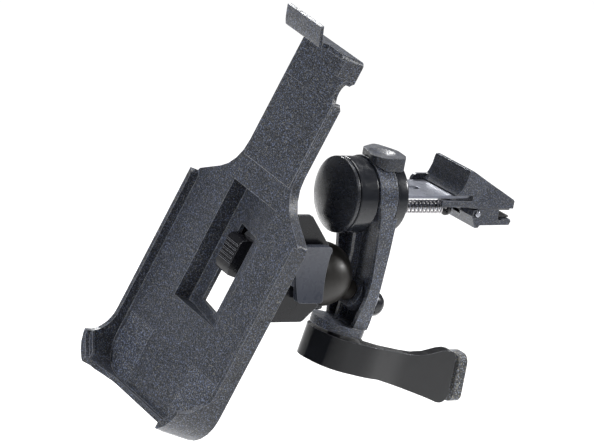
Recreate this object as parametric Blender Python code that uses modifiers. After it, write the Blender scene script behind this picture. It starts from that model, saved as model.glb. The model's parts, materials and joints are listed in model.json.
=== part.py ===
"""Car air-vent phone mount: a phone cradle on a ball-jointed arm, with a sprung vent clip and a prop foot.

Lengths in the functions below are millimetres in the hub frame: origin on the hub axis at the cap's rim,
+X to the right-hand side seen by the driver, +Y into the vent, +Z up. Model.solid() turns them into metres
in the part's own frame, whose origin is the middle of the upper grip pad, where a vent blade is held.
"""

import math

import bmesh
import bpy
from mathutils import Matrix, Vector

MM = 0.001
GAP = 0.3
OBJECT_NAME = "phone_mount"

# The phone that the cradle is moulded for, and the cradle's walls
PHONE_WIDTH = 58.6
PHONE_LENGTH = 123.8
PHONE_THICKNESS = 7.6
PLAY = 0.3
WALL = 1.6
CRADLE_CENTRE = Vector((0.0, -39.4, -23.1))
CRADLE_TILT = 17.2
CRADLE_ROLL = 5.0
CRADLE_BOTTOM = -50.4
SHOULDER = 20.4
NECK_HALF = 14.7
NECK_START = 29.2
NECK_PANEL = 0.15
CORNER_RADIUS = 12.0
SKIRT = 4.2
NECK_SKIRT = 3.2
LEFT_RIM = 3.2
RIGHT_RIM = 1.5
BOTTOM_RIM = 1.8
POCKET_DEPTH = 6.0
PROUD = 11.0

# Turntable behind the cradle
TURN_V = 8.0
DISC_RADIUS = 8.6
PLATE_BACK = -11.4

# Ball joint and bracket
BALL = Vector((0.0, -0.5, -26.2))
BALL_RADIUS = 10.4
LINER = 0.8
STUD_ANGLE = -24.6
BRACKET_HALF = 8.0
BUTTON_OUT = 12.2
BUTTON_TRAVEL = 1.0

# Hub
CAP_RADIUS = 12.1
HUB_RADIUS = 12.5
RING_START = 1.5
RING_END = 8.3
HUB_FRONT = 8.7
HUB_BACK = 15.2
HOUSING_FRONT = 15.6
HOUSING_BACK = 19.9
HOUSING_RADIUS = 12.2
AXLE_RADIUS = 2.8

# Arm
ARM_BACK = 16.5
ARM_WALL = 1.5
ARM_BOTTOM = -44.0
COLLAR_RADIUS = 8.9

# Prop foot
FOOT_TOP = Vector((0.0, 9.85, -45.3))
FOOT_SLOPE = -10.8
FOOT_RADIUS = 9.3
FOOT_HEIGHT = 10.4
FOOT_REACH = 45.0

# Vent clip
CLIP_HALF = 9.8
TONGUE_TOP = 2.4
TONGUE_THICK = 1.1
JAW_TIP = 63.1
MOUTH_BACK = 57.6
UPPER_FACE = -1.4
LOWER_FACE = -4.9
PAD_THICK = 0.5
PIVOT = Vector((0.0, 49.3, -3.3))
ROD_DROP = -4.0
SPRING_RADIUS = 1.9
SPRING_WIRE = 0.375
SPRING_START = 20.3
SPRING_END = 42.6
SPRING_PITCH = 1.55

ORIGIN = Vector((0.0, (MOUTH_BACK + JAW_TIP) / 2, UPPER_FACE - GAP - PAD_THICK))

# Frames: FRONT draws an outline in X and Z and points to the driver; SIDE draws it in Y and Z, towards +X.
FRONT = Matrix(((1, 0, 0, 0), (0, 0, -1, 0), (0, 1, 0, 0), (0, 0, 0, 1)))
SIDE = Matrix(((0, 0, 1, 0), (1, 0, 0, 0), (0, 1, 0, 0), (0, 0, 0, 1)))
BACK = Matrix(((-1, 0, 0, 0), (0, 0, 1, 0), (0, 1, 0, 0), (0, 0, 0, 1)))
ACROSS = Matrix(((1, 0, 0, 0), (0, 0, -1, 0), (0, 1, 0, 0), (0, 0, 0, 1)))
TOP = Matrix.Identity(4)
CRADLE = (
    Matrix.Translation(CRADLE_CENTRE)
    @ Matrix.Rotation(math.radians(-CRADLE_TILT), 4, "X")
    @ Matrix.Rotation(math.radians(CRADLE_ROLL), 4, "Y")
    @ FRONT
)
FOOT = Matrix.Translation(FOOT_TOP) @ Matrix.Rotation(math.radians(FOOT_SLOPE), 4, "X")
STUD = (
    Matrix.Translation(BALL)
    @ Matrix.Rotation(math.radians(STUD_ANGLE), 4, "X")
    @ BACK
)

TURN = CRADLE @ Matrix.Translation((0, TURN_V, 0))
SOCKET = Matrix.Translation(BALL)
ROD = FRONT @ Matrix.Translation((0, ROD_DROP, 0))
PIN = SIDE @ Matrix.Translation((PIVOT.y, PIVOT.z, 0))

MATERIALS = {
    "grained_plastic": ((0.055, 0.058, 0.066), 0.55, 0.0),
    "satin_plastic": ((0.035, 0.037, 0.042), 0.38, 0.0),
    "dark_plastic": ((0.018, 0.018, 0.021), 0.32, 0.0),
    "ball_plastic": ((0.05, 0.046, 0.042), 0.35, 0.0),
    "rubber": ((0.03, 0.03, 0.03), 0.85, 0.0),
    "plated_steel": ((0.55, 0.56, 0.58), 0.3, 1.0),
    "spring_steel": ((0.6, 0.58, 0.55), 0.22, 1.0),
}


def clear_scene():
    for obj in list(bpy.data.objects):
        bpy.data.objects.remove(obj, do_unlink=True)


def new_collection(name):
    collection = bpy.data.collections.new(name)
    bpy.context.scene.collection.children.link(collection)
    return collection


def make_material(name):
    colour, roughness, metallic = MATERIALS[name]
    material = bpy.data.materials.get(name) or bpy.data.materials.new(name)
    material.use_nodes = True
    shader = material.node_tree.nodes["Principled BSDF"]
    shader.inputs["Base Color"].default_value = (*colour, 1)
    shader.inputs["Roughness"].default_value = roughness
    shader.inputs["Metallic"].default_value = metallic
    return material


# Outlines


def rounded(corners, step=15.0):
    """A closed outline whose corners are (x, y) or (x, y, radius). Arcs get a point every step degrees."""
    points = []
    count = len(corners)
    for i, corner in enumerate(corners):
        here = Vector(corner[:2])
        radius = corner[2] if len(corner) > 2 else 0
        if not radius:
            points.append(here)
            continue
        back = (Vector(corners[i - 1][:2]) - here).normalized()
        ahead = (Vector(corners[(i + 1) % count][:2]) - here).normalized()
        half = back.angle(ahead) / 2
        centre = here + (back + ahead).normalized() * (radius / math.sin(half))
        start = here + back * (radius / math.tan(half)) - centre
        end = here + ahead * (radius / math.tan(half)) - centre
        turn = start.angle_signed(end)
        steps = max(2, round(abs(math.degrees(turn)) / step))
        for k in range(steps + 1):
            a = -turn * k / steps
            points.append(centre + Matrix.Rotation(a, 2) @ start)
    return points


def circle(x, y, radius, count=32):
    angles = [2 * math.pi * k / count for k in range(count)]
    return [Vector((x + radius * math.cos(a), y + radius * math.sin(a))) for a in angles]


def box_outline(x0, y0, x1, y1, radius=0.0):
    return rounded([(x0, y0, radius), (x1, y0, radius), (x1, y1, radius), (x0, y1, radius)])


def arc(centre, radius, start, end, steps):
    """Points along an arc, in degrees."""
    angles = [math.radians(start + (end - start) * k / steps) for k in range(steps + 1)]
    return [(centre[0] + radius * math.cos(a), centre[1] + radius * math.sin(a)) for a in angles]


# Solids


def tidy(mesh):
    bm = bmesh.new()
    bm.from_mesh(mesh)
    bmesh.ops.remove_doubles(bm, verts=bm.verts, dist=1e-4)
    bmesh.ops.dissolve_degenerate(bm, edges=bm.edges, dist=1e-4)
    bmesh.ops.recalc_face_normals(bm, faces=bm.faces)
    bm.to_mesh(mesh)
    bm.free()
    return mesh


def mesh_of(obj):
    """The evaluated mesh of a helper object, which is then removed."""
    graph = bpy.context.evaluated_depsgraph_get()
    mesh = bpy.data.meshes.new_from_object(obj.evaluated_get(graph))
    bpy.data.objects.remove(obj, do_unlink=True)
    return tidy(mesh)


def prism(outlines, low, high):
    """A flat outline, or an outline with holes, drawn in x and y and extruded from z = low to high."""
    curve = bpy.data.curves.new("outline", "CURVE")
    curve.dimensions = "2D"
    curve.fill_mode = "BOTH"
    curve.extrude = (high - low) / 2
    for outline in outlines if isinstance(outlines[0], list) else [outlines]:
        spline = curve.splines.new("POLY")
        spline.points.add(len(outline) - 1)
        for point, (x, y) in zip(spline.points, outline):
            point.co = (x, y, 0, 1)
        spline.use_cyclic_u = True
    obj = bpy.data.objects.new("outline", curve)
    bpy.context.scene.collection.objects.link(obj)
    mesh = mesh_of(obj)
    mesh.transform(Matrix.Translation((0, 0, (low + high) / 2)))
    return mesh


def turned(profile, steps=40):
    """A profile of (radius, z) points turned about the z axis. Ends that lie on the axis close the solid."""
    mesh = bpy.data.meshes.new("profile")
    edges = [(k, k + 1) for k in range(len(profile) - 1)]
    if profile[0][0] > 0:
        edges.append((len(profile) - 1, 0))
    mesh.from_pydata([(r, 0, z) for r, z in profile], edges, [])
    obj = bpy.data.objects.new("profile", mesh)
    bpy.context.scene.collection.objects.link(obj)
    screw = obj.modifiers.new("turn", "SCREW")
    screw.steps = screw.render_steps = steps
    screw.use_merge_vertices = True
    screw.merge_threshold = 1e-4
    return mesh_of(obj)


def rod(radius, low, high, count=24):
    bm = bmesh.new()
    bmesh.ops.create_cone(
        bm, cap_ends=True, segments=count, radius1=radius, radius2=radius, depth=high - low
    )
    bmesh.ops.translate(bm, verts=bm.verts, vec=(0, 0, (low + high) / 2))
    mesh = bpy.data.meshes.new("rod")
    bm.to_mesh(mesh)
    bm.free()
    return mesh


def block(low, high):
    bm = bmesh.new()
    bmesh.ops.create_cube(bm, size=1)
    size = Vector(high) - Vector(low)
    bmesh.ops.scale(bm, vec=size, verts=bm.verts)
    bmesh.ops.translate(bm, vec=(Vector(high) + Vector(low)) / 2, verts=bm.verts)
    mesh = bpy.data.meshes.new("block")
    bm.to_mesh(mesh)
    bm.free()
    return mesh


def ball(centre, radius, count=40):
    bm = bmesh.new()
    bmesh.ops.create_uvsphere(bm, u_segments=count, v_segments=count // 2, radius=radius)
    bmesh.ops.translate(bm, vec=centre, verts=bm.verts)
    mesh = bpy.data.meshes.new("ball")
    bm.to_mesh(mesh)
    bm.free()
    return mesh


def softened(mesh, width):
    """The mesh with its sharp edges rounded."""
    obj = bpy.data.objects.new("soft", mesh)
    bpy.context.scene.collection.objects.link(obj)
    bevel = obj.modifiers.new("bevel", "BEVEL")
    bevel.width = width
    bevel.segments = 2
    bevel.limit_method = "ANGLE"
    bevel.angle_limit = math.radians(50)
    return mesh_of(obj)


def wire(points, radius):
    """A round wire along a list of points."""
    curve = bpy.data.curves.new("wire", "CURVE")
    curve.dimensions = "3D"
    curve.bevel_depth = radius
    curve.bevel_resolution = 2
    curve.use_fill_caps = True
    spline = curve.splines.new("POLY")
    spline.points.add(len(points) - 1)
    for point, (x, y, z) in zip(spline.points, points):
        point.co = (x, y, z, 1)
    obj = bpy.data.objects.new("wire", curve)
    bpy.context.scene.collection.objects.link(obj)
    return mesh_of(obj)


def combined(mesh, frame, steps):
    """Applies the Boolean steps, each (kind, mesh, frame), in the frame that the first mesh was drawn in."""
    obj = bpy.data.objects.new("work", mesh)
    bpy.context.scene.collection.objects.link(obj)
    tools = []
    for kind, other, other_frame in steps:
        if other_frame is not frame:
            other.transform(frame.inverted() @ other_frame)
        tool = bpy.data.objects.new("tool", other)
        bpy.context.scene.collection.objects.link(tool)
        boolean = obj.modifiers.new(kind, "BOOLEAN")
        boolean.operation = kind
        boolean.object = tool
        tools.append(tool)
    result = mesh_of(obj)
    for tool in tools:
        bpy.data.objects.remove(tool, do_unlink=True)
    return result


# Placing pieces


class Model:
    """The collection of the parts, and the empty that carries each moving group."""

    def __init__(self):
        self.parts = new_collection(OBJECT_NAME)
        self.carriers = {}

    def carrier(self, name, pivot, parent=None):
        """An empty on a group's joint axis. The groups hang from each other as the real pieces do."""
        empty = bpy.data.objects.new(name, None)
        empty.empty_display_size = 5 * MM
        self.parts.objects.link(empty)
        empty["pivot"] = tuple(pivot)
        base = ORIGIN
        if parent:
            empty.parent = self.carriers[parent]
            base = Vector(empty.parent["pivot"])
        empty.location = (pivot - base) * MM
        self.carriers[name] = empty

    def solid(self, name, mesh, frame, carrier, material, steps=()):
        """Places a mesh drawn in a frame on its carrier, after its Boolean steps, in metres."""
        empty = self.carriers[carrier]
        shape = combined(mesh, frame, steps)
        shape.transform(Matrix.Translation(-Vector(empty["pivot"])) @ frame)
        shape.transform(Matrix.Scale(MM, 4))
        shape.name = name
        shape.materials.clear()
        shape.materials.append(make_material(material))
        shape.shade_smooth()
        shape.set_sharp_from_angle(angle=math.radians(35))
        obj = bpy.data.objects.new(name, shape)
        self.parts.objects.link(obj)
        obj.parent = empty


# Vent clip: fixed to the car


def clip_housing(model):
    """A shallow cup behind the arm's hub, open at the top for the trigger and at the back for the tongue."""
    inside = -HOUSING_BACK + 1
    profile = [(3.1, inside), (3.1, -HOUSING_BACK), (HOUSING_RADIUS - 1, -HOUSING_BACK)]
    profile += [(HOUSING_RADIUS - 0.3, -HOUSING_BACK + 0.3), (HOUSING_RADIUS, -HOUSING_BACK + 1)]
    profile += [(HOUSING_RADIUS, -HOUSING_FRONT - 0.3), (HOUSING_RADIUS - 0.3, -HOUSING_FRONT)]
    profile += [(10.6, -HOUSING_FRONT), (10.6, inside)]
    trigger_slot = block((-6.4, HOUSING_FRONT - 1, 6), (6.4, -inside, 14))
    tongue_slot = block((-8.7, 18, TONGUE_TOP - TONGUE_THICK - GAP), (8.7, 22, TONGUE_TOP + GAP))
    steps = [
        ("DIFFERENCE", trigger_slot, TOP),
        ("DIFFERENCE", tongue_slot, TOP),
        ("DIFFERENCE", rod(1.25, inside - 3, inside + 1), ROD),
    ]
    model.solid("clip_housing", turned(profile, 48), FRONT, "vent_clip", "satin_plastic", steps)


def pivot_axle(model):
    end = -HOUSING_BACK + 0.2
    profile = [(0, end), (AXLE_RADIUS, end), (AXLE_RADIUS, -8.9), (5.2, -8.9), (5.2, -6.9)]
    profile += [(4.8, -6.5), (0, -6.5)]
    model.solid("pivot_axle", turned(profile, 28), FRONT, "vent_clip", "plated_steel")


def tongue_plate(model):
    """A flat spring plate from the housing to the jaws, notched round the axle and slotted."""
    slot = box_outline(-1.6, 23, 1.6, 31.4, 1.5)
    half = [(8.4, 46), (8.4, 19.2), (3.4, 19.2), (3.4, 20.3)]
    outline = [Vector(p) for p in half + [(-x, y) for x, y in reversed(half)]]
    plate = prism([outline, slot], TONGUE_TOP - TONGUE_THICK, TONGUE_TOP)
    model.solid("tongue_plate", plate, TOP, "vent_clip", "plated_steel")


def upper_jaw(model):
    """The fixed jaw: a wing with a concave front, a wedge behind it, side rails and a hinge lug."""
    wing = [(39.4, TONGUE_TOP + GAP), (40.6, 3.6), (41.7, 5.2), (42.6, 7.4), (43.1, 10.2)]
    wedge = [(43.5, 10.9), (44.7, 10.9), (JAW_TIP - 0.5, 1.6), (JAW_TIP, 1.0)]
    under = [(JAW_TIP, UPPER_FACE), (46.3, UPPER_FACE), (46.3, TONGUE_TOP + GAP)]
    profile = [Vector(p) for p in wing + wedge + under]
    far_rail = rounded([(34.7, -1.0), (46.8, -1.0), (46.8, 4.3), (34.7, 4.3, 2.2)])
    near_rail = rounded([(34.7, -1.0), (46.8, -1.0), (46.8, 1.0), (34.7, 1.0)])
    lug = [(47.7, -0.5), (47.7, -3.3), (48.2, -4.4), (49.3, -4.9), (50.4, -4.4), (50.9, -3.3), (50.9, -0.5)]
    steps = [
        ("UNION", prism(far_rail, -CLIP_HALF - 0.02, -CLIP_HALF + 1.1), SIDE),
        ("UNION", prism(near_rail, CLIP_HALF - 1.1, CLIP_HALF + 0.02), SIDE),
        ("UNION", prism([Vector(p) for p in lug], -2.4, 2.4), SIDE),
        ("DIFFERENCE", rod(1.0 + GAP, -5, 5, 20), PIN),
        ("DIFFERENCE", ball((CLIP_HALF + 23.2, 50.5, 5.0), 24.0, 32), TOP),
        ("DIFFERENCE", ball((-CLIP_HALF - 23.2, 50.5, 5.0), 24.0, 32), TOP),
    ]
    jaw = prism(profile, -CLIP_HALF, CLIP_HALF)
    model.solid("upper_jaw", jaw, SIDE, "vent_clip", "satin_plastic", steps)


def grip_pad(model, name, low, high, carrier):
    outline = box_outline(1.0 - CLIP_HALF, MOUTH_BACK + 0.3, CLIP_HALF - 1.0, JAW_TIP - 0.3, 0.6)
    model.solid(name, prism(outline, low, high), TOP, carrier, "rubber")


def lower_jaw(model):
    """The hinged jaw: a block behind the mouth, a lip under it and a wing to pull against."""
    top = UPPER_FACE - GAP
    profile = [(51.6, top), (MOUTH_BACK, top), (MOUTH_BACK, -4.0), (MOUTH_BACK + 0.4, -5.2)]
    profile += [(MOUTH_BACK + 1.2, -5.4), (MOUTH_BACK + 1.7, LOWER_FACE), (JAW_TIP - 0.6, LOWER_FACE)]
    profile += [(JAW_TIP, -5.6), (JAW_TIP - 0.5, -6.9), (51.0, -7.1), (50.4, -7.9), (49.2, -8.0)]
    profile += [(47.2, -4.0), (47.6, -2.2), (49.3, -1.75)]
    steps = [
        ("DIFFERENCE", rod(1.0 + GAP, -CLIP_HALF - 1, CLIP_HALF + 1, 20), PIN),
        ("DIFFERENCE", block((-2.7, 46, -5.3), (2.7, 51.3, 0)), TOP),
    ]
    jaw = prism([Vector(p) for p in profile], -CLIP_HALF, CLIP_HALF)
    model.solid("lower_jaw", jaw, SIDE, "lower_jaw_group", "satin_plastic", steps)


def jaw_pin(model):
    profile = [(0, -10.4), (0.7, -10.4), (1.0, -10.1), (1.0, 10.1), (0.7, 10.4), (0, 10.4)]
    model.solid("jaw_pin", turned(profile, 20), PIN, "vent_clip", "plated_steel")


# Trigger and draw rod


def trigger_lever(model):
    """A waisted thumb pad over the hub, with a leg that straddles the axle inside the housing."""
    pad = [(-5.2, 10.6, 3), (4.4, 7.9, 3.5), (8.0, 11.3, 3), (7.9, 18.6, 2.5), (4.9, 20.5, 2)]
    pad += [(-0.6, 21.4, 3), (-4.4, 20.0, 2), (-9.0, 17.6, 2)]
    leg = [(-6.0, 13.4), (-6.0, -3.0, 2), (-3.4, -6.4, 2), (3.4, -6.4, 2), (6.0, -3.0, 2), (6.0, 13.4)]
    slot = box_outline(-3.3, -3.0, 3.3, 6.0, 3.0)
    steps = [
        ("DIFFERENCE", rod(HUB_RADIUS + GAP, -HUB_BACK - 0.5, 4, 48), FRONT),
        ("DIFFERENCE", rod(HOUSING_RADIUS + GAP + 0.1, -30, -HUB_BACK, 48), FRONT),
        ("DIFFERENCE", ball((0.5, 14.4, 24.3), 11.0, 32), TOP),
        ("UNION", prism([rounded(leg), slot], -18.6, -17.6), FRONT),
    ]
    body = softened(prism(rounded(pad), 6.0, 14.2), 0.5)
    model.solid("trigger_lever", body, TOP, "trigger", "grained_plastic", steps)


def draw_rod(model):
    profile = [(0, -46.2), (0.7, -46.2), (0.95, -45.9), (0.95, -19.0), (0, -19.0)]
    model.solid("draw_rod", turned(profile, 20), ROD, "trigger", "plated_steel")
    profile = [(1.25, -44.6), (2.2, -44.6), (2.8, -44.1), (2.8, -43.3), (2.5, -43.0), (1.25, -43.0)]
    model.solid("rod_collar", turned(profile, 24), ROD, "trigger", "dark_plastic")


def helix(radius, start, end, pitch, per_turn):
    """Points round the z axis from start to end."""
    count = round((end - start) / pitch * per_turn)
    angles = [2 * math.pi * k / per_turn for k in range(count + 1)]
    rise = (end - start) / count
    return [(radius * math.cos(a), radius * math.sin(a), start + k * rise) for k, a in enumerate(angles)]


def clip_spring(model):
    points = helix(SPRING_RADIUS, -SPRING_END, -SPRING_START, SPRING_PITCH, 10)
    model.solid("clip_spring", wire(points, SPRING_WIRE), ROD, "vent_clip", "spring_steel")


# Arm


def arm_outline(inset):
    """The arm seen from the driver: a round hub on a tapered body with a chamfered foot."""
    hub = arc((0, 0), HUB_RADIUS - inset, -14, 90, 13)
    side = [(5.6 - inset / 2, ARM_BOTTOM + inset), (7.6 - inset, ARM_BOTTOM + 1.4 + inset / 2)]
    side += [(8.5 - inset, -39.8), (9.9 - inset, -32.0), (10.6 - inset, -28.0), (11.6 - inset, -16.0), *hub]
    return [Vector(p) for p in side + [(-x, y) for x, y in reversed(side[:-1])]]


def arm_housing(model):
    """A channel open to the front, with a drum at its hub, a rib inside and a collar at its foot."""
    web = ARM_BACK - ARM_WALL
    slope = [(0, -0.6), (9.3, -0.6), (10.3, -4.0), (11.0, -10.0), (11.6, -17.0), (12.4, -25.0)]
    slope += [(12.2, -32.0), (11.2, -38.0), (10.4, -44.0), (10.4, -60.0), (0, -60)]
    rib = [(12.0, -9.0), (web + 0.4, -9.0), (web + 0.4, -43.0), (10.8, -43.0), (11.6, -38.0), (12.7, -20.0)]
    steps = [
        ("DIFFERENCE", prism(arm_outline(ARM_WALL), -web, 5), FRONT),
        ("DIFFERENCE", prism([Vector(p) for p in slope], -30, 30), SIDE),
        ("UNION", rod(8.8, -web - 0.6, -10.5, 40), FRONT),
        ("UNION", prism([Vector(p) for p in rib], -3.6, -2.2), SIDE),
        ("UNION", rod(COLLAR_RADIUS, 0.62, 3.4, 40), FOOT),
        ("UNION", rod(5.2, 14.6, 21.8, 32), STUD),
        ("DIFFERENCE", rod(HOUSING_RADIUS + 0.6, -30, -HUB_BACK, 48), FRONT),
        ("DIFFERENCE", rod(AXLE_RADIUS + GAP, -31, 31), FRONT),
        ("DIFFERENCE", ball(BALL, BALL_RADIUS + 1.6), TOP),
        ("DIFFERENCE", rod(3.0, 8, 30), STUD),
        ("DIFFERENCE", rod(4.0, 7.9, 14.2), STUD),
        ("DIFFERENCE", rod(2.5, -2, 9.0, 28), FOOT),
    ]
    shell = prism(arm_outline(0), -ARM_BACK, -HUB_FRONT)
    model.solid("arm_housing", shell, FRONT, "arm", "grained_plastic", steps)


def hub_ring(model):
    profile = [(9.9, -RING_END), (CAP_RADIUS - 0.25, -RING_END), (CAP_RADIUS, -RING_END + 0.25)]
    profile += [(CAP_RADIUS, -RING_START - 0.25), (CAP_RADIUS - 0.25, -RING_START), (9.9, -RING_START)]
    model.solid("hub_ring", turned(profile, 48), FRONT, "arm", "satin_plastic")


def hub_cap(model):
    """A domed cap, hollow behind."""
    depth = 4.3
    radius = (CAP_RADIUS**2 + depth**2) / (2 * depth)
    edge = math.degrees(math.asin((CAP_RADIUS - 0.4) / radius))
    dome = arc((0, depth - radius), radius, 90 - edge, 90, 8)
    inner = [(x * 0.86, z - 1.4) for x, z in reversed(dome)]
    rim = [(CAP_RADIUS - 1.6, -1.2), (CAP_RADIUS - 0.2, -1.2), (CAP_RADIUS, -1.0), (CAP_RADIUS, 0)]
    model.solid("hub_cap", turned(rim + dome + inner, 48), FRONT, "arm", "grained_plastic")


def thrust_washer(model):
    profile = [(3.2, -10.2), (6.4, -10.2), (6.4, -9.2), (3.2, -9.2)]
    model.solid("thrust_washer", turned(profile, 28), FRONT, "arm", "plated_steel")


def ball_stud(model):
    steps = [("UNION", rod(3.6, 6.0, 13.6, 28), STUD), ("UNION", rod(2.6, 6.1, 26.0), STUD)]
    sphere = ball((0, 0, 0), BALL_RADIUS, 48)
    model.solid("ball_stud", sphere, STUD, "arm", "ball_plastic", steps)


def stud_nut(model):
    profile = [(2.9, 22.1), (4.7, 22.1), (4.7, 22.9), (2.9, 22.9)]
    model.solid("stud_washer", turned(profile, 24), STUD, "arm", "plated_steel")
    profile = [(2.9, 23.2), (3.9, 23.2), (4.2, 23.5), (4.2, 25.4), (3.5, 27.0), (1.9, 28.1), (0, 28.4)]
    profile += [(0, 26.3), (2.9, 26.3)]
    model.solid("stud_nut", turned(profile, 28), STUD, "arm", "satin_plastic")


# Ball socket, bracket and squeeze buttons


def ball_liner(model):
    """A thin cup between the ball and the bracket, cut off at the back and the sides."""
    steps = [
        ("DIFFERENCE", ball((0, 0, 0), BALL_RADIUS + GAP, 48), SOCKET),
        ("DIFFERENCE", block((-20, -1.2, -20), (20, 20, 20)), SOCKET),
        ("DIFFERENCE", block((6.4, -21, -21), (20, 21, 21)), SOCKET),
        ("DIFFERENCE", block((-20, -21, -21), (-6.4, 21, 21)), SOCKET),
    ]
    cup = ball((0, 0, 0), BALL_RADIUS + GAP + LINER, 48)
    model.solid("ball_liner", cup, SOCKET, "liner_group", "dark_plastic", steps)


def ball_bracket(model):
    """The block between the ball and the cradle, with a disc and a stem for the adapter to turn on."""
    low = (-17.9 - 35 * math.tan(math.radians(CRADLE_TILT)), -39.5)
    side = [low, (-9.6, -39.5, 2.0), (-4.4, -34.0, 2.0), (-4.4, -14.6, 2.0), (-13.0, -4.5, 1.5)]
    body = prism(rounded([*side, (-17.9, -4.5)]), -BRACKET_HALF, BRACKET_HALF)
    steps = [
        ("UNION", rod(DISC_RADIUS - 0.6, -16.4, PLATE_BACK - GAP, 40), TURN),
        ("UNION", rod(4.0, -16.2, PLATE_BACK + 1.9), TURN),
        ("DIFFERENCE", block((-6.6, -30, -9.0), (6.6, 5, 0)), TOP),
        ("DIFFERENCE", ball(BALL, BALL_RADIUS + LINER + 2 * GAP, 48), TOP),
        ("DIFFERENCE", block((2.4, -17.7, -27.3), (20, -13.3, -16.3)), TOP),
        ("DIFFERENCE", block((-20, -17.7, -27.3), (-2.4, -13.3, -16.3)), TOP),
    ]
    model.solid("ball_bracket", body, SIDE, "bracket", "dark_plastic", steps)


def squeeze_button(model, name, side):
    """A side button with a dished thumb face and a stem, on its own spring."""
    face = rounded([(-15.2, -31.9, 1.2), (-5.9, -31.9, 1.2), (-5.9, -13.5, 1.2), (-19.2, -13.5, 1.2)])
    inner = BRACKET_HALF + BUTTON_TRAVEL + GAP
    low, high = sorted((side * inner, side * BUTTON_OUT))
    stem_low, stem_high = sorted((side * 5.6, side * (inner + 0.5)))
    dish = Matrix.Translation((side * (BUTTON_OUT + 32.7), 0, -22.7)) @ FRONT
    pressed_ball = ball(BALL + Vector((side * BUTTON_TRAVEL, 0, 0)), BALL_RADIUS + GAP, 48)
    steps = [
        ("UNION", prism(box_outline(-17.4, -27.0, -13.6, -16.6, 0.6), stem_low, stem_high), SIDE),
        ("DIFFERENCE", rod(34.0, -30, 30, 96), dish),
        ("DIFFERENCE", pressed_ball, TOP),
    ]
    model.solid(name, prism(face, low, high), SIDE, name + "_group", "satin_plastic", steps)
    spring = wire(helix(1.5, 2.95, 5.0, 0.75, 10), 0.2)
    frame = Matrix.Translation((0, -15.5, -21.8)) @ Matrix.Rotation(math.radians(side * 90), 4, "Y")
    spring_name = name.replace("squeeze_button", "button_spring")
    model.solid(spring_name, spring, frame, "bracket", "spring_steel")


# Adapter plate and cradle


def adapter_plate(model):
    """A flat plate that turns on the bracket's disc and slides between the cradle's rails."""
    outline = [(-15.8, -9.0, 2), (15.8, -9.0, 2), (15.8, 3.0, 2), (9.0, 13.6, 2), (-9.0, 13.6, 2)]
    outline = rounded([*outline, (-15.8, 3.0, 2)])
    plate = prism([outline, circle(0, 0, 4.3, 28)], PLATE_BACK, PLATE_BACK + 2.2)
    model.solid("adapter_plate", plate, TURN, "adapter", "dark_plastic")


def swivel_retainer(model):
    top = PLATE_BACK + 2.2 + GAP
    profile = [(0, top), (6.6, top), (6.6, top + 0.6), (6.2, top + 1.0), (0, top + 1.0)]
    model.solid("swivel_retainer", turned(profile, 28), TURN, "bracket", "plated_steel")


def release_latch(model):
    """The thumb tongue that stands in the cradle's window."""
    side = [(-1.4, PLATE_BACK + 2.5), (1.0, PLATE_BACK + 2.5), (1.0, -7.6), (11.2, -7.6), (11.2, -4.4)]
    side += [(10.4, -2.4), (9.4, -1.9), (1.0, -1.9), (-1.4, -3.2)]
    turn = CRADLE @ Matrix.Translation((-0.8, 0, 0)) @ SIDE
    latch = prism([Vector(p) for p in side], -3.8, 3.8)
    model.solid("release_latch", latch, turn, "latch", "dark_plastic")


def cradle_top():
    return CRADLE_BOTTOM + 2 * WALL + 2 * PLAY + PHONE_LENGTH


def cradle_outline(inset=0.0):
    """The cradle seen square on: a wide lower part, curved shoulders and a neck up to the top wall."""
    width = PHONE_WIDTH / 2 + PLAY + WALL - inset
    neck = NECK_HALF - inset
    right = [(width, CRADLE_BOTTOM + inset, CORNER_RADIUS - inset), (width, SHOULDER - inset / 2, 1.5)]
    right += [(neck, NECK_START - inset / 2, 14.0), (neck, cradle_top() - inset, 1.6)]
    left = [(-corner[0], *corner[1:]) for corner in reversed(right)]
    return rounded(right + left)


def room_outline(clearance, corner, top):
    """The inside of the lower walls, which opens out to each side above them."""
    inner = PHONE_WIDTH / 2 + PLAY - clearance
    right = [*corner, (inner, SHOULDER - 1.0, 3.0), (inner + 12, SHOULDER + 2), (inner + 12, top)]
    left = [(-point[0], *point[1:]) for point in reversed(right)]
    return rounded(right + left)


def mouth_outline(chamfer, clearance):
    """The gap between the corner lips, which cross the corners at an angle."""
    x = PHONE_WIDTH / 2 + PLAY - clearance
    y = CRADLE_BOTTOM + WALL + clearance
    return room_outline(clearance, [(x - chamfer, y), (x, y + chamfer)], 120)


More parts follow.
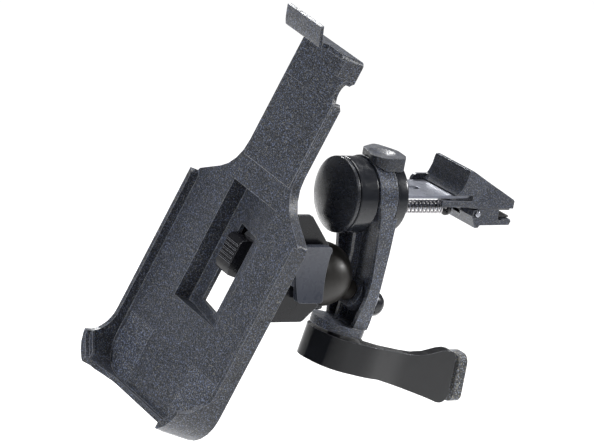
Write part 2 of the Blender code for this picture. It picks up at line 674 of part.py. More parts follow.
def cradle_shell(model):
    inner = PHONE_WIDTH / 2 + PLAY
    room = [(inner, CRADLE_BOTTOM + WALL, CORNER_RADIUS - WALL)]
    room = room_outline(0, room, cradle_top() - WALL)
    lip = PHONE_THICKNESS + 0.4
    corner_wall = block((13.1, 70.4, -0.8), (NECK_HALF - 0.02, cradle_top() - 0.9, 4.0))
    hem = [(17.5, -SKIRT - 0.03), (35.0, -NECK_SKIRT), (99, -NECK_SKIRT), (99, -28), (17.5, -28)]
    steps = [
        ("DIFFERENCE", prism(mouth_outline(6.6, 0.4), lip + 1.4, 30), CRADLE),
        ("DIFFERENCE", prism(mouth_outline(8.4, 0.6), lip, 29), CRADLE),
        ("DIFFERENCE", prism(room, 0, lip + 0.7), CRADLE),
        ("DIFFERENCE", prism(cradle_outline(WALL), -30, -WALL), CRADLE),
        ("DIFFERENCE", prism([Vector(p) for p in hem], -40.3, 40.3), CRADLE @ SIDE),
        *rim_steps(),
        ("DIFFERENCE", prism(box_outline(6.0, 60, 30, 90), 5.4, 33), CRADLE),
        ("UNION", corner_wall, CRADLE),
        ("UNION", block((0.8 - NECK_HALF, 33.0, -0.5), (NECK_HALF - 0.8, 61.5, NECK_PANEL)), CRADLE),
        ("UNION", *rail(-1)),
        ("UNION", *rail(1)),
        *pocket_steps(),
        ("DIFFERENCE", block((-5.4, -13.0, -34), (8.6, 13.8, 34)), CRADLE),
        ("UNION", *lead_in_tab()),
        ("DIFFERENCE", rod(5.2, -35, 35), CRADLE @ Matrix.Translation((17.2, 65.6, 0))),
    ]
    outline = prism(cradle_outline(), -SKIRT, PROUD)
    model.solid("cradle_shell", outline, CRADLE, "cradle", "grained_plastic", steps)


def rim_steps():
    """Cuts the side and bottom walls down between the corner claws, with a sweep up to each claw."""
    inner = PHONE_WIDTH / 2 + PLAY
    steps = []
    for rim, low, high in ((LEFT_RIM, -40.0, 2 - inner), (RIGHT_RIM, inner - 2, 40.1)):
        sweep = [(-40.6, 12.5), (-40.4, 10.6), (-40.0, 8.9), (-39.4, 7.4), (-38.6, 6.3), (-37.5, 5.4)]
        sweep += [(-36.1, (rim + 5.6) / 2), (-34.6, rim + 0.6), (-32.9, rim + 0.15), (-31.0, rim)]
        sweep += [(50, rim), (50, 35), (-40.6, 35)]
        steps.append(("DIFFERENCE", prism([Vector(p) for p in sweep], low, high), CRADLE @ SIDE))
    half = [(15.0, BOTTOM_RIM), (17.6, 2.1), (19.8, 3.4), (21.6, 5.4), (23.4, 8.0), (24.4, 12.0), (24.4, 34)]
    sweep = [Vector(p) for p in half + [(-x, y) for x, y in reversed(half)]]
    steps.append(("DIFFERENCE", prism(sweep, 1.0, 60.0), CRADLE @ ACROSS))
    return steps


def rail(side):
    """An undercut rail behind the floor, which holds one edge of the adapter plate."""
    low = PLATE_BACK - GAP
    section = [(16.1, -0.5), (16.1, low), (14.6, low), (14.6, low - 1.2), (17.6, low - 1.2), (17.6, -0.5)]
    outline = [Vector((side * u, n)) for u, n in section]
    return prism(outline, -9.0, 1.0), CRADLE @ ACROSS


def pocket_steps():
    """The sloping pocket in the floor, deepest on the left, and the shell behind it."""
    left, right, low, high = -12.4, 13.6, -16.2, 24.8
    shell = [(left - WALL, -0.6), (left - WALL, -POCKET_DEPTH - WALL), (left + 3, -POCKET_DEPTH - WALL)]
    shell += [(right + WALL, -WALL - 0.6), (right + WALL, -0.6)]
    ramp = [(left, 3), (left, -POCKET_DEPTH), (left + 4, -POCKET_DEPTH), (right, -0.4), (right, 3)]
    frame = CRADLE @ ACROSS
    return [
        ("UNION", prism([Vector(p) for p in shell], -high - WALL, -low + WALL), frame),
        ("DIFFERENCE", prism([Vector(p) for p in ramp], -high, -low), frame),
    ]


def lead_in_tab():
    """The end wall's tab, which leans over the phone and then flares back to guide it in."""
    v = cradle_top() - WALL + 0.2
    wall = [(3.4, v), (7.2, v), (7.9, v - 0.7), (8.7, v - 0.5), (9.6, v + 0.9), (10.4, v + 2.6)]
    wall += [(11.5, v + 5.4), (10.6, v + 6.0), (9.4, v + 3.4), (8.4, v + 1.5), (7.4, v + 1.25)]
    wall += [(3.4, v + 1.25)]
    outline = [Vector((end, n)) for n, end in wall]
    return prism(outline, 0.2 - NECK_HALF, 5.9), CRADLE @ SIDE


# Prop foot


def foot_lever(model):
    """A hub under the arm's collar and a curved arm that widens towards its pad."""
    end = FOOT_REACH + 4
    arm = [(2.0, -9.2, 2), (10.6, -6.0, 9), (12.3, 8.0, 20), (9.6, 22.0, 40), (8.6, end), (4.6, end)]
    arm += [(5.8, 22.0, 40), (7.6, 8.0, 10), (2.0, 4.0, 1)]
    top = [(FOOT_REACH - 1.6, 3.0, 2.5), (39.5, 3.0, 2.0), (37.0, 2.4), (32.0, 0.4), (27.0, -0.6)]
    top += [(22.0, -0.7), (10.0, -GAP), (-12, -GAP)]
    low = [(-12, -FOOT_HEIGHT), (14.0, -10.6), (28.0, -12.4), (37.0, -13.7), (42.0, -14.6)]
    side = rounded(top + low + [(FOOT_REACH + 1.6, -14.6, 3.0)])
    steps = [
        ("INTERSECT", prism(side, -30, 30), FOOT @ SIDE),
        ("UNION", rod(FOOT_RADIUS, 0.02 - FOOT_HEIGHT, -GAP - 0.02, 44), FOOT),
        ("DIFFERENCE", rod(2.6, -5.0, 4, 28), FOOT),
        ("DIFFERENCE", rod(6.6, -FOOT_HEIGHT - 2, -4.4, 32), FOOT),
    ]
    body = prism(rounded(arm), -20, 10)
    model.solid("foot_lever", body, FOOT, "foot", "satin_plastic", steps)


def foot_pad(model):
    face = FOOT_TOP.y + FOOT_REACH * math.cos(math.radians(FOOT_SLOPE)) + GAP
    pad = prism(box_outline(0.4, -68.0, 9.2, -51.6, 3.0), -face - 3.6, -face)
    model.solid("foot_pad", softened(pad, 0.8), FRONT, "foot", "rubber")


def foot_screw(model):
    profile = [(0, -6.6), (4.2, -6.6), (4.6, -6.2), (4.6, -4.7), (2.2, -4.7), (2.2, 3.2), (0, 3.2)]
    model.solid("foot_screw", turned(profile, 28), FOOT, "arm", "plated_steel")


def add_carriers(model):
    """One empty for each moving group, on its joint's axis."""
    model.carrier("vent_clip", ORIGIN)
    model.carrier("lower_jaw_group", PIVOT, "vent_clip")
    model.carrier("trigger", Vector((0, HOUSING_BACK, ROD_DROP)), "vent_clip")
    model.carrier("arm", Vector((0, 0, 0)), "vent_clip")
    model.carrier("foot", FOOT_TOP, "arm")
    model.carrier("liner_group", BALL, "arm")
    model.carrier("bracket", BALL, "liner_group")
    model.carrier("squeeze_button_near_group", Vector((10.0, -15.5, -21.8)), "bracket")
    model.carrier("squeeze_button_far_group", Vector((-10.0, -15.5, -21.8)), "bracket")
    model.carrier("adapter", TURN @ Vector((0, 0, PLATE_BACK)), "bracket")
    model.carrier("latch", CRADLE @ Vector((0, 5.0, -7.6)), "adapter")
    model.carrier("cradle", CRADLE @ Vector((0, 0, 0)), "adapter")


def build():
    clear_scene()
    model = Model()
    add_carriers(model)
    clip_housing(model)
    pivot_axle(model)
    tongue_plate(model)
    upper_jaw(model)
    upper = UPPER_FACE - GAP - PAD_THICK
    grip_pad(model, "upper_grip_pad", upper, upper + PAD_THICK, "vent_clip")
    lower_jaw(model)
    lower = LOWER_FACE + GAP
    grip_pad(model, "lower_grip_pad", lower, lower + PAD_THICK, "lower_jaw_group")
    jaw_pin(model)
    trigger_lever(model)
    draw_rod(model)
    clip_spring(model)
    arm_housing(model)
    hub_ring(model)
    hub_cap(model)
    thrust_washer(model)
    ball_stud(model)
    stud_nut(model)
    ball_liner(model)
    ball_bracket(model)
    squeeze_button(model, "squeeze_button_near", 1)
    squeeze_button(model, "squeeze_button_far", -1)
    adapter_plate(model)
    swivel_retainer(model)
    release_latch(model)
    cradle_shell(model)
    foot_lever(model)
    foot_pad(model)
    foot_screw(model)


build()
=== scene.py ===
"""The finished look of the car air-vent phone mount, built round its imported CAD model."""

import json
import math

import bmesh
import bpy
from mathutils import Matrix, Vector


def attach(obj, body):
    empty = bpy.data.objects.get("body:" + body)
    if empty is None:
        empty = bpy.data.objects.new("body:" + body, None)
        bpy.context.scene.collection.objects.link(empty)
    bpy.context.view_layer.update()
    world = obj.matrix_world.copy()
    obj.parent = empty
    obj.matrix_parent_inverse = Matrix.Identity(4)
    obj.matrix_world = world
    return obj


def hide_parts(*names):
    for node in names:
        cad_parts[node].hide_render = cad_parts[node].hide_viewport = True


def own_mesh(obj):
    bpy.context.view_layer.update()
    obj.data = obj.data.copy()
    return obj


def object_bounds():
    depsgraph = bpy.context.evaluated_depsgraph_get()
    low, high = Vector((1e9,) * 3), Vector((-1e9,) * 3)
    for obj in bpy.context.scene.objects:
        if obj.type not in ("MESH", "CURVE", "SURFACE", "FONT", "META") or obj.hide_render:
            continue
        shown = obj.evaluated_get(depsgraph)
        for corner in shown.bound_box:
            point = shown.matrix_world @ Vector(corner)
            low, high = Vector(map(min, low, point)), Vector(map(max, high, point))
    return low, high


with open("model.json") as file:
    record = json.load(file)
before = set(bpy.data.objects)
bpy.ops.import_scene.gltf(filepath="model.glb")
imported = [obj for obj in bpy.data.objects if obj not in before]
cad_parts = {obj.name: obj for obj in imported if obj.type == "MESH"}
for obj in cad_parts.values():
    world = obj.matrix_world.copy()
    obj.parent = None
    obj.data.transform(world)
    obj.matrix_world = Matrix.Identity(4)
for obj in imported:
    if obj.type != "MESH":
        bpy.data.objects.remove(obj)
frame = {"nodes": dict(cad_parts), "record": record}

MM = 0.001
CAD_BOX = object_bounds()
RECORD = frame["record"]

# How edges look: millimetres of softening, its samples, and the colour and strength of the line painted along
# them, partly rubbed wear and partly painted highlight
EDGE_RADIUS = 0.28
BEVEL_SAMPLES = 6
EDGE_WEAR_AND_HIGHLIGHT_TONE = (0.27, 0.28, 0.31)
EDGE_SHARE = 0.7

# How much the plastics reflect, a little less than the shader's usual 0.5
PLASTIC_SPECULAR = 0.35

# The camera, as the mount is seen: degrees round it, above it and of roll, and its place in metres
CAMERA_AZIMUTH = 54.2
CAMERA_ELEVATION = 15.1
CAMERA_ROLL = 10.7
CAMERA_PLACE = Vector((0.92627, -0.74098, 0.30078))
CAMERA_LENS = 230.3

# The studio's soft light from all round, and how pale its walls look to the camera
WORLD_LIGHT = 0.14
WORLD_SEEN = 0.93

# The broad overhead light: its power, and its width and turn in degrees
SUN_POWER = 3.2
SUN_WIDTH = 40
SUN_TURN = (-12, -14, 0)

# The area lights: name, place in metres from the mount's middle, size in metres and power in watts
SOFT_LIGHTS = (
    ("key", (-0.9, 0.3, 0.7), 0.22, 12),
    ("rim", (0.35, 0.9, 0.5), 0.2, 10),
    ("fill", (0.9, -0.2, 0.9), 0.25, 3),
    ("front", (0.1, -1.2, 0.45), 0.2, 12),
)

# The floor: half its width and its depth below the mount in metres
FLOOR_HALF = 12
FLOOR_DROP = 0.3

# Places in the model

JOINTS = {joint["name"]: joint for joint in RECORD["behaviour"]["joints"]}
MOUNTS = {mount["name"]: mount for mount in RECORD["mounts"]}
BODY_OF = {node: body for body, nodes in RECORD["behaviour"]["bodies"].items() for node in nodes}
FLOOR_MARK = (0.0, 46.0, 0.15)
FRONT_AXES = Matrix(((1, 0, 0, 0), (0, 0, -1, 0), (0, 1, 0, 0), (0, 0, 0, 1)))


def hub_frame():
    """Millimetres from the hub's centre: +X to the right, +Y into the vent, +Z up."""
    return Matrix.Translation(JOINTS["arm_swivel"]["pos_m"]) @ Matrix.Scale(MM, 4)


def cradle_frame():
    """Millimetres on the cradle's floor: x across it, y up along it, z out towards the phone."""
    up = Vector(JOINTS["cradle_slide"]["axis"]).normalized()
    out = Vector(MOUNTS["phone_floor"]["axis"]).normalized()
    across = up.cross(out)
    mark = Vector(MOUNTS["phone_floor"]["pos_m"])
    centre = mark - (across * FLOOR_MARK[0] + up * FLOOR_MARK[1] + out * FLOOR_MARK[2]) * MM
    turn = Matrix((across, up, out)).transposed().to_4x4()
    return Matrix.Translation(centre) @ turn @ Matrix.Scale(MM, 4)


HUB = hub_frame()
FRONT = HUB @ FRONT_AXES
CRADLE = cradle_frame()


# Materials


class Shader:
    """A Principled material whose colour, roughness and bump come from procedural nodes in millimetres."""

    def __init__(self, name, roughness, metallic=0.0, specular=0.5):
        self.material = bpy.data.materials.new(name)
        self.material.use_nodes = True
        self.nodes = self.material.node_tree.nodes
        self.links = self.material.node_tree.links
        self.shader = self.nodes["Principled BSDF"]
        self.shader.inputs["Roughness"].default_value = roughness
        self.shader.inputs["Metallic"].default_value = metallic
        self.shader.inputs["Specular IOR Level"].default_value = specular
        self.place = self.nodes.new("ShaderNodeMapping")
        self.place.inputs["Scale"].default_value = (1 / MM, 1 / MM, 1 / MM)
        self.links.new(self.nodes.new("ShaderNodeTexCoord").outputs["Object"], self.place.inputs["Vector"])

    def noise(self, size, detail=2.0, distortion=0.0, stretch=None):
        """Noise whose features are about size millimetres across."""
        node = self.nodes.new("ShaderNodeTexNoise")
        node.inputs["Scale"].default_value = 1 / size
        node.inputs["Detail"].default_value = detail
        node.inputs["Distortion"].default_value = distortion
        vector = self.place.outputs["Vector"]
        if stretch:
            mapping = self.nodes.new("ShaderNodeMapping")
            mapping.inputs["Scale"].default_value = stretch
            self.links.new(vector, mapping.inputs["Vector"])
            vector = mapping.outputs["Vector"]
        self.links.new(vector, node.inputs["Vector"])
        return node.outputs["Fac"]

    def cells(self, size):
        """Rounded cells, as in an etched moulding."""
        node = self.nodes.new("ShaderNodeTexVoronoi")
        node.feature = "SMOOTH_F1"
        node.inputs["Scale"].default_value = 1 / size
        self.links.new(self.place.outputs["Vector"], node.inputs["Vector"])
        return node.outputs["Distance"]

    def remap(self, value, low, high, to_low, to_high):
        node = self.nodes.new("ShaderNodeMapRange")
        for socket, number in zip(("From Min", "From Max", "To Min", "To Max"), (low, high, to_low, to_high)):
            node.inputs[socket].default_value = number
        self.links.new(value, node.inputs["Value"])
        return node.outputs["Result"]

    def mix(self, factor, first, second):
        """A colour between two, each a socket or an RGB value."""
        node = self.nodes.new("ShaderNodeMix")
        node.data_type = "RGBA"
        self.links.new(factor, node.inputs["Factor"])
        for socket, value in ((node.inputs[6], first), (node.inputs[7], second)):
            if isinstance(value, tuple):
                socket.default_value = (*value, 1)
            else:
                self.links.new(value, socket)
        return node.outputs[2]

    def colour(self, socket):
        self.links.new(socket, self.shader.inputs["Base Color"])

    def roughness(self, socket):
        self.links.new(socket, self.shader.inputs["Roughness"])

    def rounded_normal(self):
        """The surface normal with every edge softened."""
        edges = self.nodes.new("ShaderNodeBevel")
        edges.samples = BEVEL_SAMPLES
        edges.inputs["Radius"].default_value = EDGE_RADIUS * MM
        return edges.outputs["Normal"]

    def bump(self, heights):
        """Adds the bumps, each (height socket, depth in millimetres), to the softened normal."""
        normal = self.rounded_normal()
        for height, depth in heights:
            node = self.nodes.new("ShaderNodeBump")
            node.inputs["Distance"].default_value = depth * MM
            self.links.new(height, node.inputs["Height"])
            self.links.new(normal, node.inputs["Normal"])
            normal = node.outputs["Normal"]
        self.links.new(normal, self.shader.inputs["Normal"])

    def edge_wear_and_highlight(self, colour, worn_and_lit):
        """Lightens a thin line along the edges, where the rounded normal leaves the flat one: partly rubbed
        wear, partly a painted highlight.
        """
        along = self.nodes.new("ShaderNodeVectorMath")
        along.operation = "DOT_PRODUCT"
        self.links.new(self.rounded_normal(), along.inputs[0])
        self.links.new(self.nodes.new("ShaderNodeNewGeometry").outputs["Normal"], along.inputs[1])
        share = self.remap(along.outputs["Value"], 0.82, 0.985, EDGE_SHARE, 0.0)
        return self.mix(share, colour, worn_and_lit)


def scaled(colour, factor):
    return tuple(min(1.0, channel * factor) for channel in colour)


def grained_plastic(name, colour, roughness, grain, depth, glint_and_pit_shade):
    """Moulded plastic with an etched grain, with painted glints of cooler and warmer tone and painted shade
    in its pits, all in its colour.
    """
    make = Shader(name, roughness, specular=PLASTIC_SPECULAR)
    tone = make.mix(make.noise(11.0, 3), scaled(colour, 0.75), scaled(colour, 1.1))
    # Bright specks, cooler and warmer: painted glints
    cool_glint = make.remap(make.noise(grain * 0.7, 2), 0.55, 0.61, 0.0, 0.95 * glint_and_pit_shade)
    tone = make.mix(cool_glint, tone, (colour[0] * 4.0, colour[1] * 4.5, colour[2] * 5.6))
    warm_glint = make.remap(make.noise(grain * 0.8, 2, 0.3), 0.58, 0.64, 0.0, 0.95 * glint_and_pit_shade)
    tone = make.mix(warm_glint, tone, (colour[0] * 5.0, colour[1] * 4.5, colour[2] * 3.2))
    # Dark specks: painted shade in the grain's pits
    pit_shade = make.remap(make.noise(grain * 0.75, 2, 0.6), 0.5, 0.58, 0.0, 0.9 * glint_and_pit_shade)
    # Paler edges: partly wear, partly painted highlight
    make.colour(make.edge_wear_and_highlight(make.mix(pit_shade, tone, scaled(colour, 0.3)), EDGE_WEAR_AND_HIGHLIGHT_TONE))
    make.roughness(make.remap(make.noise(3.0, 3), 0.3, 0.7, roughness - 0.07, roughness + 0.07))
    make.bump([(make.cells(grain), depth), (make.noise(grain * 0.5, 3), depth * 0.6)])
    return make.material


def satin_plastic(name, colour, roughness, waviness=0.012):
    """Smooth moulded plastic with faint flow marks, fine scuffs, and edges painted paler, partly as wear and
    partly as painted highlight.
    """
    make = Shader(name, roughness, specular=PLASTIC_SPECULAR)
    tone = make.mix(make.noise(7.0, 3, 0.6), scaled(colour, 0.82), scaled(colour, 1.18))
    # Paler edges: partly wear, partly painted highlight
    make.colour(make.edge_wear_and_highlight(tone, EDGE_WEAR_AND_HIGHLIGHT_TONE))
    scuff = make.noise(2.2, 5, 0.8)
    make.roughness(make.remap(scuff, 0.3, 0.7, roughness - 0.06, roughness + 0.08))
    make.bump([(make.noise(6.0, 2), waviness * 3), (make.noise(0.25, 2), waviness * 0.25)])
    return make.material


def rubber(name, colour, roughness):
    """Matt rubber with a fine sanded surface and dusty specks."""
    make = Shader(name, roughness)
    tone = make.mix(make.noise(2.5, 4), scaled(colour, 0.8), scaled(colour, 1.3))
    make.colour(make.mix(make.remap(make.noise(0.5, 3), 0.5, 0.75, 0.0, 0.5), tone, scaled(colour, 2.2)))
    make.roughness(make.remap(make.noise(1.2, 2), 0.3, 0.7, roughness - 0.08, roughness + 0.1))
    make.bump([(make.cells(0.55), 0.05), (make.noise(0.2, 2), 0.02)])
    return make.material


def plated_steel(name, colour, roughness, streak=(1.0, 0.08, 1.0)):
    """Plated sheet or turned steel, with drawn streaks and a few dull spots."""
    make = Shader(name, roughness, 1.0)
    tone = make.mix(make.noise(4.0, 3), scaled(colour, 0.8), colour)
    dull = make.remap(make.noise(0.8, 5, 1.0), 0.56, 0.75, 0.0, 0.6)
    make.colour(make.mix(dull, tone, scaled(colour, 0.45)))
    drawn = make.noise(0.16, 3, 0.0, streak)
    make.roughness(make.remap(drawn, 0.3, 0.7, roughness - 0.08, roughness + 0.14))
    make.bump([(drawn, 0.004)])
    return make.material


CHARCOAL = (0.026, 0.0285, 0.036)
SLATE = (0.013, 0.0145, 0.019)
INK = (0.0065, 0.0068, 0.0088)

LOOKS = {
    "grained": grained_plastic("grained_plastic", scaled(CHARCOAL, 1.45), 0.32, 0.55, 0.05, 0.9),
    "cradle": grained_plastic("cradle_plastic", scaled(CHARCOAL, 0.92), 0.38, 0.58, 0.12, 1.05),
    "patch": grained_plastic("patch_plastic", scaled(CHARCOAL, 1.3), 0.42, 0.6, 0.12, 1.1),
    "cap": grained_plastic("cap_plastic", scaled(CHARCOAL, 0.5), 0.28, 0.45, 0.02, 0.6),
    "thumb": grained_plastic("thumb_plastic", scaled(CHARCOAL, 0.9), 0.4, 0.6, 0.04, 0.6),
    "satin": satin_plastic("satin_plastic", scaled(SLATE, 0.8), 0.2),
    "lever": satin_plastic("lever_plastic", scaled(SLATE, 0.35), 0.16, 0.02),
    "button": satin_plastic("button_plastic", scaled(SLATE, 3.2), 0.28),
    "dark": satin_plastic("dark_plastic", INK, 0.22),
    "ball": satin_plastic("ball_plastic", (0.016, 0.0145, 0.013), 0.42),
    "jaw": grained_plastic("jaw_plastic", (0.03, 0.033, 0.042), 0.34, 0.5, 0.04, 0.8),
    "rubber": rubber("grip_rubber", (0.03, 0.03, 0.031), 0.8),
    "foot": grained_plastic("foot_plastic", (0.05, 0.051, 0.053), 0.5, 0.7, 0.08, 1.05),
    "steel": plated_steel("plated_steel", (0.34, 0.35, 0.39), 0.3),
    "tongue": plated_steel("tongue_steel", (0.22, 0.23, 0.27), 0.34),
    "spring": plated_steel("spring_steel", (0.34, 0.33, 0.34), 0.2, (1.0, 1.0, 1.0)),
}


# Shapes


def rounded(corners, steps=6):
    """A closed outline whose corners are (x, y) or (x, y, radius)."""
    points = []
    for i, corner in enumerate(corners):
        here = Vector(corner[:2])
        if len(corner) < 3:
            points.append(here)
            continue
        back = (Vector(corners[i - 1][:2]) - here).normalized()
        ahead = (Vector(corners[(i + 1) % len(corners)][:2]) - here).normalized()
        half = back.angle(ahead) / 2
        centre = here + (back + ahead).normalized() * (corner[2] / math.sin(half))
        start = here + back * (corner[2] / math.tan(half)) - centre
        end = here + ahead * (corner[2] / math.tan(half)) - centre
        turn = start.angle_signed(end)
        points += [centre + Matrix.Rotation(-turn * k / steps, 2) @ start for k in range(steps + 1)]
    return points


def prism(outline, low, high):
    """A flat outline in x and y, extruded from z = low to high."""
    bm = bmesh.new()
    face = bm.faces.new([bm.verts.new((point[0], point[1], low)) for point in outline])
    grown = bmesh.ops.extrude_face_region(bm, geom=[face])
    top = [item for item in grown["geom"] if isinstance(item, bmesh.types.BMVert)]
    bmesh.ops.translate(bm, verts=top, vec=(0, 0, high - low))
    return bm


def coil(name, radius, wire, start, end, pitch, matrix, like):
    """A spring of round wire about the z axis, as a mesh."""
    curve = bpy.data.curves.new(name, "CURVE")
    curve.dimensions = "3D"
    curve.bevel_depth = wire
    curve.bevel_resolution = 3
    curve.use_fill_caps = True
    per_turn = 20
    count = round((end - start) / pitch * per_turn)
    spline = curve.splines.new("POLY")
    spline.points.add(count)
    for k, point in enumerate(spline.points):
        angle = 2 * math.pi * k / per_turn
        rise = start + (end - start) * k / count
        point.co = (radius * math.cos(angle), radius * math.sin(angle), rise, 1)
    helper = bpy.data.objects.new(name, curve)
    bm = bmesh.new()
    bm.from_mesh(bpy.data.meshes.new_from_object(helper))
    bpy.data.objects.remove(helper)
    bmesh.ops.remove_doubles(bm, verts=bm.verts, dist=1e-4)
    obj = made(name, bm, "spring", like, matrix)
    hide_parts(like)
    return obj


# Finishing the CAD pieces

# The weld distance in metres, and the angles in degrees that count as flat, bevelled and sharp
WELD = 2e-6
FLAT_ANGLE = 1.0
BEVEL_ANGLE = 32.0
SHARP_ANGLE = 40.0


def finished(node, look, edge):
    """A CAD node's surface with its flat faces joined up, its edges rounded and its own material."""
    bm = bmesh.new()
    bm.from_mesh(frame["nodes"][node].data)
    bmesh.ops.remove_doubles(bm, verts=bm.verts, dist=WELD)
    if edge:
        flat = math.radians(FLAT_ANGLE)
        bmesh.ops.dissolve_limit(bm, angle_limit=flat, verts=bm.verts, edges=bm.edges, delimit={"NORMAL"})
    obj = made(node + "_finished", bm, look, node)
    if edge:
        bevel = obj.modifiers.new("edges", "BEVEL")
        bevel.width = edge * MM
        bevel.segments = 2
        bevel.limit_method = "ANGLE"
        bevel.angle_limit = math.radians(BEVEL_ANGLE)
        bevel.use_clamp_overlap = True
        bevel.miter_outer = "MITER_ARC"
    weighted = obj.modifiers.new("shading", "WEIGHTED_NORMAL")
    weighted.keep_sharp = True
    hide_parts(node)
    return obj


def made(name, bm, look, like, matrix=None):
    """A new piece from a bmesh, which moves with the CAD node that it is like."""
    mesh = bpy.data.meshes.new(name)
    if matrix:
        bm.transform(matrix)
    bmesh.ops.recalc_face_normals(bm, faces=bm.faces)
    bm.to_mesh(mesh)
    bm.free()
    if "custom_normal" in mesh.attributes:
        mesh.attributes.remove(mesh.attributes["custom_normal"])
    mesh.shade_smooth()
    mesh.set_sharp_from_angle(angle=math.radians(SHARP_ANGLE))
    obj = bpy.data.objects.new(name, mesh)
    bpy.context.scene.collection.objects.link(obj)
    obj.data.materials.append(LOOKS[look])
    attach(obj, BODY_OF[like])
    return obj


# Each CAD node's look and the width of its rounded edges in millimetres. Zero leaves the mesh's own edges.
FINISHES = {
    "clip_housing": ("satin", 0.2),
    "pivot_axle": ("steel", 0.12),
    "tongue_plate": ("tongue", 0.2),
    "upper_jaw": ("jaw", 0.22),
    "upper_grip_pad": ("rubber", 0.1),
    "lower_jaw": ("jaw", 0.22),
    "lower_grip_pad": ("rubber", 0.1),
    "jaw_pin": ("steel", 0.1),
    "trigger_lever": ("thumb", 0.5),
    "draw_rod": ("steel", 0.1),
    "rod_collar": ("dark", 0.12),
    "arm_housing": ("grained", 0.2),
    "hub_ring": ("satin", 0.15),
    "hub_cap": ("cap", 0.12),
    "thrust_washer": ("steel", 0.1),
    "ball_stud": ("ball", 0.12),
    "stud_washer": ("steel", 0.1),
    "stud_nut": ("satin", 0.15),
    "foot_screw": ("steel", 0.12),
    "foot_lever": ("lever", 0.25),
    "foot_pad": ("foot", 0.2),
    "ball_liner": ("dark", 0.1),
    "ball_bracket": ("dark", 0.25),
    "swivel_retainer": ("steel", 0.1),
    "squeeze_button_near": ("button", 0.3),
    "squeeze_button_far": ("button", 0.3),
    "adapter_plate": ("dark", 0.2),
    "release_latch": ("dark", 0.15),
    "cradle_shell": ("cradle", 0.0),
}


# Added pieces

SPRING_START = 20.4
SPRING_END = 42.5
ROD_DROP = -4.0
SPRING_PLACE = FRONT @ Matrix.Translation((0, ROD_DROP, 0))
BUTTON_SPRING_PLACE = (0, -15.5, -21.8)
PATCH_TOP = -29.5
PATCH_BOTTOM = -48.4
PATCH_HEIGHT = 0.12
LATCH_FACE = -1.9
LATCH_RIBS = 5
RIB_START = 2.2
RIB_PITCH = 1.45
RIB_WIDTH = 0.6
RIB_HEIGHT = 0.3
SINK = 0.1


def springs():
    """The long spring under the tongue and the two small ones behind the squeeze buttons."""
    long_spring = coil("clip_coil", 1.9, 0.36, -SPRING_END, -SPRING_START, 1.5, SPRING_PLACE, "clip_spring")
    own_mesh(long_spring)
    for side, end in ((1, "near"), (-1, "far")):
        turn = Matrix.Rotation(math.radians(side * 90), 4, "Y")
        place = HUB @ Matrix.Translation(BUTTON_SPRING_PLACE) @ turn
        small = coil("button_coil_" + end, 1.5, 0.19, 3.0, 4.95, 0.7, place, "button_spring_" + end)
        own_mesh(small)


def corner_patches():
    """Two faintly raised and slightly paler patches in the cradle's lower corners."""
    left = [(-13.2, PATCH_TOP), (-27.7, PATCH_TOP), (-27.7, PATCH_BOTTOM, 9.0), (-13.2, PATCH_BOTTOM)]
    right = [(12.2, PATCH_TOP), (28.5, PATCH_TOP), (28.5, PATCH_BOTTOM, 9.4), (12.2, PATCH_BOTTOM)]
    for name, outline in (("corner_patch_left", left), ("corner_patch_right", right)):
        made(name, prism(rounded(outline), -SINK, PATCH_HEIGHT), "patch", "cradle_shell", CRADLE)


def latch_ribs():
    """Grip ribs across the latch's thumb face."""
    for k in range(LATCH_RIBS):
        low = RIB_START + RIB_PITCH * k
        high = low + RIB_WIDTH
        outline = [(-4.2, low), (2.6, low), (2.6, high), (-4.2, high)]
        rib = prism(outline, LATCH_FACE - SINK, LATCH_FACE + RIB_HEIGHT)
        made(f"latch_rib_{k}", rib, "dark", "release_latch", CRADLE)


# Stage


def camera():
    azimuth, elevation = math.radians(CAMERA_AZIMUTH), math.radians(CAMERA_ELEVATION)
    flat = math.cos(elevation)
    back = Vector((math.sin(azimuth) * flat, -math.cos(azimuth) * flat, math.sin(elevation)))
    level = (-back).to_track_quat("-Z", "Y").to_matrix()
    turn = level @ Matrix.Rotation(math.radians(CAMERA_ROLL), 3, "Z")
    data = bpy.data.cameras.new("camera")
    data.lens = CAMERA_LENS
    data.clip_end = 50
    obj = bpy.data.objects.new("camera", data)
    obj.matrix_world = Matrix.Translation(CAMERA_PLACE) @ turn.to_4x4()
    bpy.context.scene.collection.objects.link(obj)
    bpy.context.scene.camera = obj


def soft_light(name, place, size, power):
    """A square area light that faces the mount."""
    data = bpy.data.lights.new(name, "AREA")
    data.size = size
    data.energy = power
    obj = bpy.data.objects.new(name, data)
    target = (CAD_BOX[0] + CAD_BOX[1]) / 2
    obj.location = target + Vector(place)
    obj.rotation_euler = (-Vector(place)).to_track_quat("-Z", "Y").to_euler()
    bpy.context.scene.collection.objects.link(obj)


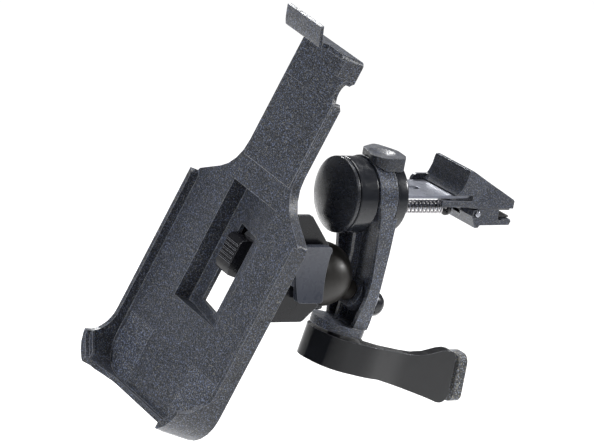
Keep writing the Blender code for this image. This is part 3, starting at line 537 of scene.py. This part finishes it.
def pale_floor():
    """A wide pale floor under the mount."""
    bm = bmesh.new()
    bmesh.ops.create_grid(bm, x_segments=1, y_segments=1, size=FLOOR_HALF)
    mesh = bpy.data.meshes.new("floor")
    bm.to_mesh(mesh)
    bm.free()
    floor = bpy.data.objects.new("floor", mesh)
    floor.location = (0, 0, CAD_BOX[0].z - FLOOR_DROP)
    bpy.context.scene.collection.objects.link(floor)
    pale = bpy.data.materials.new("pale_floor")
    pale.use_nodes = True
    shader = pale.node_tree.nodes["Principled BSDF"]
    shader.inputs["Base Color"].default_value = (0.9, 0.9, 0.9, 1)
    shader.inputs["Roughness"].default_value = 0.9
    floor.data.materials.append(pale)


def pale_walls():
    """Dim white light from all round, with walls that look pale behind the mount."""
    world = bpy.data.worlds.new("studio")
    world.use_nodes = True
    tree = world.node_tree
    tree.nodes["Background"].inputs["Color"].default_value = (1, 1, 1, 1)
    tree.nodes["Background"].inputs["Strength"].default_value = WORLD_LIGHT
    pale_wall = tree.nodes.new("ShaderNodeBackground")
    pale_wall.inputs["Color"].default_value = (1, 1, 1, 1)
    pale_wall.inputs["Strength"].default_value = WORLD_SEEN
    seen = tree.nodes.new("ShaderNodeMixShader")
    tree.links.new(tree.nodes.new("ShaderNodeLightPath").outputs["Is Camera Ray"], seen.inputs["Fac"])
    tree.links.new(tree.nodes["Background"].outputs["Background"], seen.inputs[1])
    tree.links.new(pale_wall.outputs["Background"], seen.inputs[2])
    tree.links.new(seen.outputs["Shader"], tree.nodes["World Output"].inputs["Surface"])
    bpy.context.scene.world = world


def lamps():
    """Broad light from above, and soft lights in front, behind and at both sides."""
    sun = bpy.data.lights.new("sky", "SUN")
    sun.energy = SUN_POWER
    sun.angle = math.radians(SUN_WIDTH)
    sky = bpy.data.objects.new("sky", sun)
    sky.rotation_euler = [math.radians(turn) for turn in SUN_TURN]
    bpy.context.scene.collection.objects.link(sky)
    for light in SOFT_LIGHTS:
        soft_light(*light)


def build():
    camera()
    for node, (look, edge) in FINISHES.items():
        finished(node, look, edge)
    springs()
    corner_patches()
    latch_ribs()
    pale_floor()
    pale_walls()
    lamps()
    bpy.context.scene.view_settings.view_transform = "Standard"


build()
